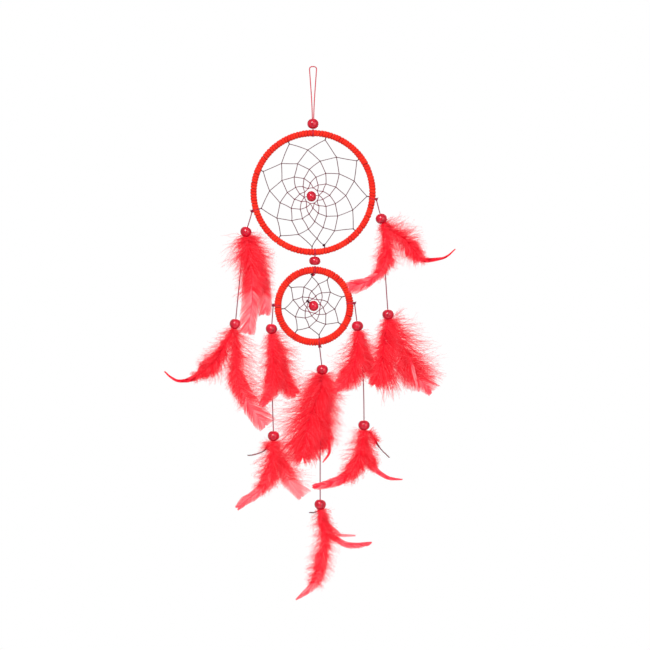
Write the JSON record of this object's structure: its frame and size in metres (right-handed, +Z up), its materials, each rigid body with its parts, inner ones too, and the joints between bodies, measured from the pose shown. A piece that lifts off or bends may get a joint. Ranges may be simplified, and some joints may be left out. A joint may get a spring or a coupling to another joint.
{
  "type": "dream catcher",
  "caption": "Hanging ornament of wrapped hoops joined one below the other, with knotted thread webs, round beads, and feather bunches on swinging threads.",
  "frame": {"origin": "the top of the hanging loop, where a hook holds it", "axes": "+Z up along the hang, both hoops in the XZ plane, -Y towards the viewer"},
  "size_m": [0.2556, 0.0136, 0.4674],
  "materials": {
    "hoop_wire": "drawn steel wire",
    "lace": "matte suede-like lace",
    "thread": "waxed polyester thread",
    "bead": "glossy",
    "feather": "dyed down and barbs"
  },
  "bodies": {
    "hanging_loop": {"hanging_loop": "thread"},
    "hanger": {"hanger_cord": "thread"},
    "top_bead": {"top_bead": "bead"},
    "large_hoop": {"large_hoop_core": "hoop_wire", "large_hoop_wrap": "lace", "large_web": "thread", "large_left_hitch": "thread", "large_right_hitch": "thread"},
    "large_web_bead": {"large_web_bead": "bead"},
    "link": {"link_cord": "thread", "link_bead": "bead"},
    "small_hoop": {"small_hoop_core": "hoop_wire", "small_hoop_wrap": "lace", "small_hoop_hitch": "thread", "small_web": "thread", "small_left_hitch": "thread", "small_right_hitch": "thread", "small_centre_hitch": "thread"},
    "small_web_bead": {"small_web_bead": "bead"},
    "large_left_upper": {"large_left_upper_cord": "thread", "large_left_upper_bead": "bead"},
    "large_left_lower": {"large_left_upper_feather_1": "feather", "large_left_upper_feather_2": "feather", "large_left_lower_cord": "thread", "large_left_lower_bead": "bead", "large_left_lower_feather_1": "feather", "large_left_lower_feather_2": "feather"},
    "large_right_upper": {"large_right_upper_cord": "thread", "large_right_upper_bead": "bead"},
    "large_right_lower": {"large_right_upper_feather_1": "feather", "large_right_upper_feather_2": "feather", "large_right_lower_cord": "thread", "large_right_lower_bead": "bead", "large_right_lower_feather_1": "feather", "large_right_lower_feather_2": "feather"},
    "small_left_upper": {"small_left_upper_cord": "thread", "small_left_upper_bead": "bead"},
    "small_left_lower": {"small_left_upper_feather_1": "feather", "small_left_upper_feather_2": "feather", "small_left_lower_cord": "thread", "small_left_lower_bead": "bead", "small_left_lower_feather_1": "feather", "small_left_lower_feather_2": "feather"},
    "small_right_upper": {"small_right_upper_cord": "thread", "small_right_upper_bead": "bead"},
    "small_right_lower": {"small_right_upper_feather_1": "feather", "small_right_upper_feather_2": "feather", "small_right_lower_cord": "thread", "small_right_lower_bead": "bead", "small_right_lower_feather_1": "feather", "small_right_lower_feather_2": "feather"},
    "small_centre_upper": {"small_centre_upper_cord": "thread", "small_centre_upper_bead": "bead"},
    "small_centre_lower": {"small_centre_upper_feather_1": "feather", "small_centre_upper_feather_2": "feather", "small_centre_lower_cord": "thread", "small_centre_lower_bead": "bead", "small_centre_lower_feather_1": "feather", "small_centre_lower_feather_2": "feather"}
  },
  "joints": [
    {"name": "hanger_turn", "type": "hinge", "parent": "hanging_loop", "child": "hanger", "pos_m": [0, 0, -0.03895], "axis": [0, 0, 1], "range_deg": [-180, 180]},
    {"name": "top_bead_slide", "type": "slide", "parent": "hanger", "child": "top_bead", "axis": [0, 0, 1], "range_m": [0, 0.007]},
    {"name": "large_hoop_nod", "type": "hinge", "parent": "hanger", "child": "large_hoop", "pos_m": [0, 0, -0.05885], "axis": [1, 0, 0], "range_deg": [-15, 15]},
    {"name": "large_web_bead_spin", "type": "hinge", "parent": "large_hoop", "child": "large_web_bead", "pos_m": [-0.00137, 0, -0.1142], "axis": [-0.994, 0, -0.109], "continuous": true},
    {"name": "link_swing", "type": "hinge", "parent": "large_hoop", "child": "link", "pos_m": [0.0016, 0, -0.16312], "axis": [1, 0, 0], "range_deg": [-15, 15]},
    {"name": "small_hoop_turn", "type": "hinge", "parent": "link", "child": "small_hoop", "pos_m": [0.0016, 0, -0.17475], "axis": [0, 0, 1], "range_deg": [-90, 90]},
    {"name": "small_web_bead_spin", "type": "hinge", "parent": "small_hoop", "child": "small_web_bead", "pos_m": [0.00051, 0, -0.21024], "axis": [-0.9804, 0, -0.1971], "continuous": true},
    {"name": "large_left_swing", "type": "hinge", "parent": "large_hoop", "child": "large_left_upper", "pos_m": [-0.05355, 0, -0.12852], "axis": [1, 0, 0], "range_deg": [-20, 20]},
    {"name": "large_left_bend", "type": "hinge", "parent": "large_left_upper", "child": "large_left_lower", "pos_m": [-0.06008, 0, -0.14974], "axis": [1, 0, 0], "range_deg": [-20, 20]},
    {"name": "large_right_swing", "type": "hinge", "parent": "large_hoop", "child": "large_right_upper", "pos_m": [0.05569, 0, -0.118], "axis": [1, 0, 0], "range_deg": [-20, 20]},
    {"name": "large_right_bend", "type": "hinge", "parent": "large_right_upper", "child": "large_right_lower", "pos_m": [0.06111, 0, -0.13829], "axis": [1, 0, 0], "range_deg": [-20, 20]},
    {"name": "small_left_swing", "type": "hinge", "parent": "small_hoop", "child": "small_left_upper", "pos_m": [-0.03499, 0, -0.21102], "axis": [1, 0, 0], "range_deg": [-20, 20]},
    {"name": "small_left_bend", "type": "hinge", "parent": "small_left_upper", "child": "small_left_lower", "pos_m": [-0.03674, 0, -0.23504], "axis": [1, 0, 0], "range_deg": [-20, 20]},
    {"name": "small_right_swing", "type": "hinge", "parent": "small_hoop", "child": "small_right_upper", "pos_m": [0.03651, 0, -0.20915], "axis": [1, 0, 0], "range_deg": [-20, 20]},
    {"name": "small_right_bend", "type": "hinge", "parent": "small_right_upper", "child": "small_right_lower", "pos_m": [0.03962, 0, -0.23251], "axis": [1, 0, 0], "range_deg": [-20, 20]},
    {"name": "small_centre_swing", "type": "hinge", "parent": "small_hoop", "child": "small_centre_upper", "pos_m": [0.00578, 0, -0.2471], "axis": [1, 0, 0], "range_deg": [-20, 20]},
    {"name": "small_centre_bend", "type": "hinge", "parent": "small_centre_upper", "child": "small_centre_lower", "pos_m": [0.00867, 0, -0.27071], "axis": [1, 0, 0], "range_deg": [-20, 20]}
  ]
}
